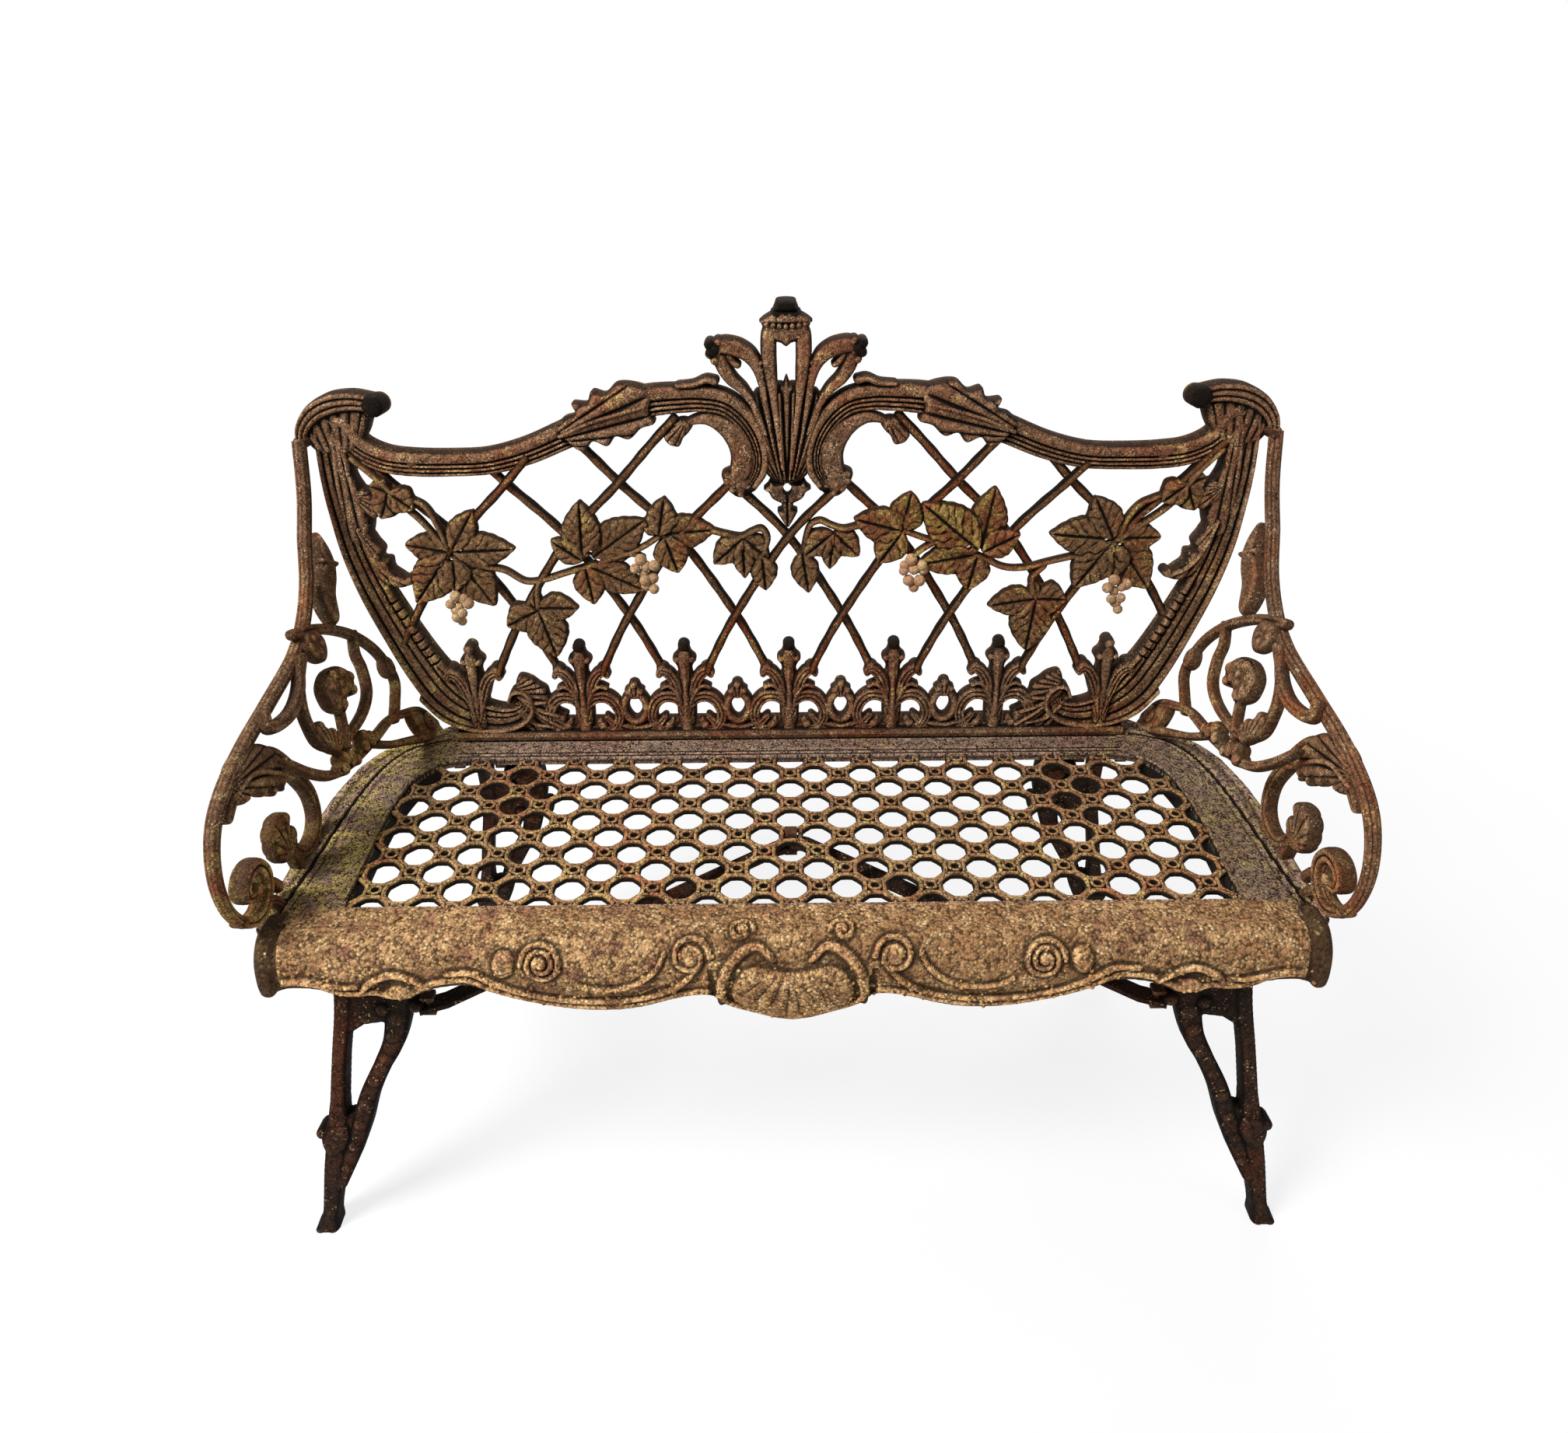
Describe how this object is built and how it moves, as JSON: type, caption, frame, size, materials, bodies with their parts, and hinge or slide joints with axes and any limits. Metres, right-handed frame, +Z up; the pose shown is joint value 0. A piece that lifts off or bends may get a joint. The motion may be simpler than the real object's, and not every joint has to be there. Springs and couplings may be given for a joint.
{
  "type": "cast iron garden bench",
  "caption": "Garden bench of bolted iron castings: pierced octagon seat, scalloped apron, scrolled arms, splayed legs and a trellis back with vine leaves, fleurs-de-lis and a palmette crest",
  "frame": {"origin": "on the floor, under the middle of the bench's bounding box", "axes": "+X to the right as seen from the front, along the seat; +Y from the front to the back; +Z up"},
  "size_m": [1.1532, 0.4798, 0.9693],
  "materials": {
    "back_iron": "rusted, matt",
    "vine_iron": "rusted, matt",
    "arm_iron": "rusted, matt",
    "seat_iron": "rusted with lichen, matt",
    "apron_iron": "crusted with lichen, matt",
    "leg_iron": "rusted, dark, matt",
    "fastener_iron": "rusted, matt"
  },
  "bodies": {
    "root": {"back_left_stile": "back_iron", "back_right_stile": "back_iron", "back_left_top_rail": "back_iron", "back_right_top_rail": "back_iron", "back_crest": "back_iron", "fleur_gallery": "back_iron", "trellis_front_bars": "back_iron", "trellis_rear_bars": "back_iron", "left_vine": "vine_iron", "right_vine": "vine_iron", "left_arm_rail": "arm_iron", "left_arm_front_scroll": "arm_iron", "left_arm_rear_scroll": "arm_iron", "right_arm_rail": "arm_iron", "right_arm_front_scroll": "arm_iron", "right_arm_rear_scroll": "arm_iron", "seat_plate": "seat_iron", "front_apron": "apron_iron", "front_left_leg": "leg_iron", "front_right_leg": "leg_iron", "rear_left_leg": "leg_iron", "rear_right_leg": "leg_iron", "left_brace": "leg_iron", "right_brace": "leg_iron", "brace_bolt": "fastener_iron", "brace_nut": "fastener_iron", "brace_end_bolts": "fastener_iron", "brace_end_nuts": "fastener_iron", "leg_bolts": "fastener_iron", "arm_seat_bolts": "fastener_iron", "arm_seat_nuts": "fastener_iron", "arm_back_bolts": "fastener_iron", "back_seat_bolts": "fastener_iron", "back_seat_nuts": "fastener_iron"}
  },
  "joints": []
}
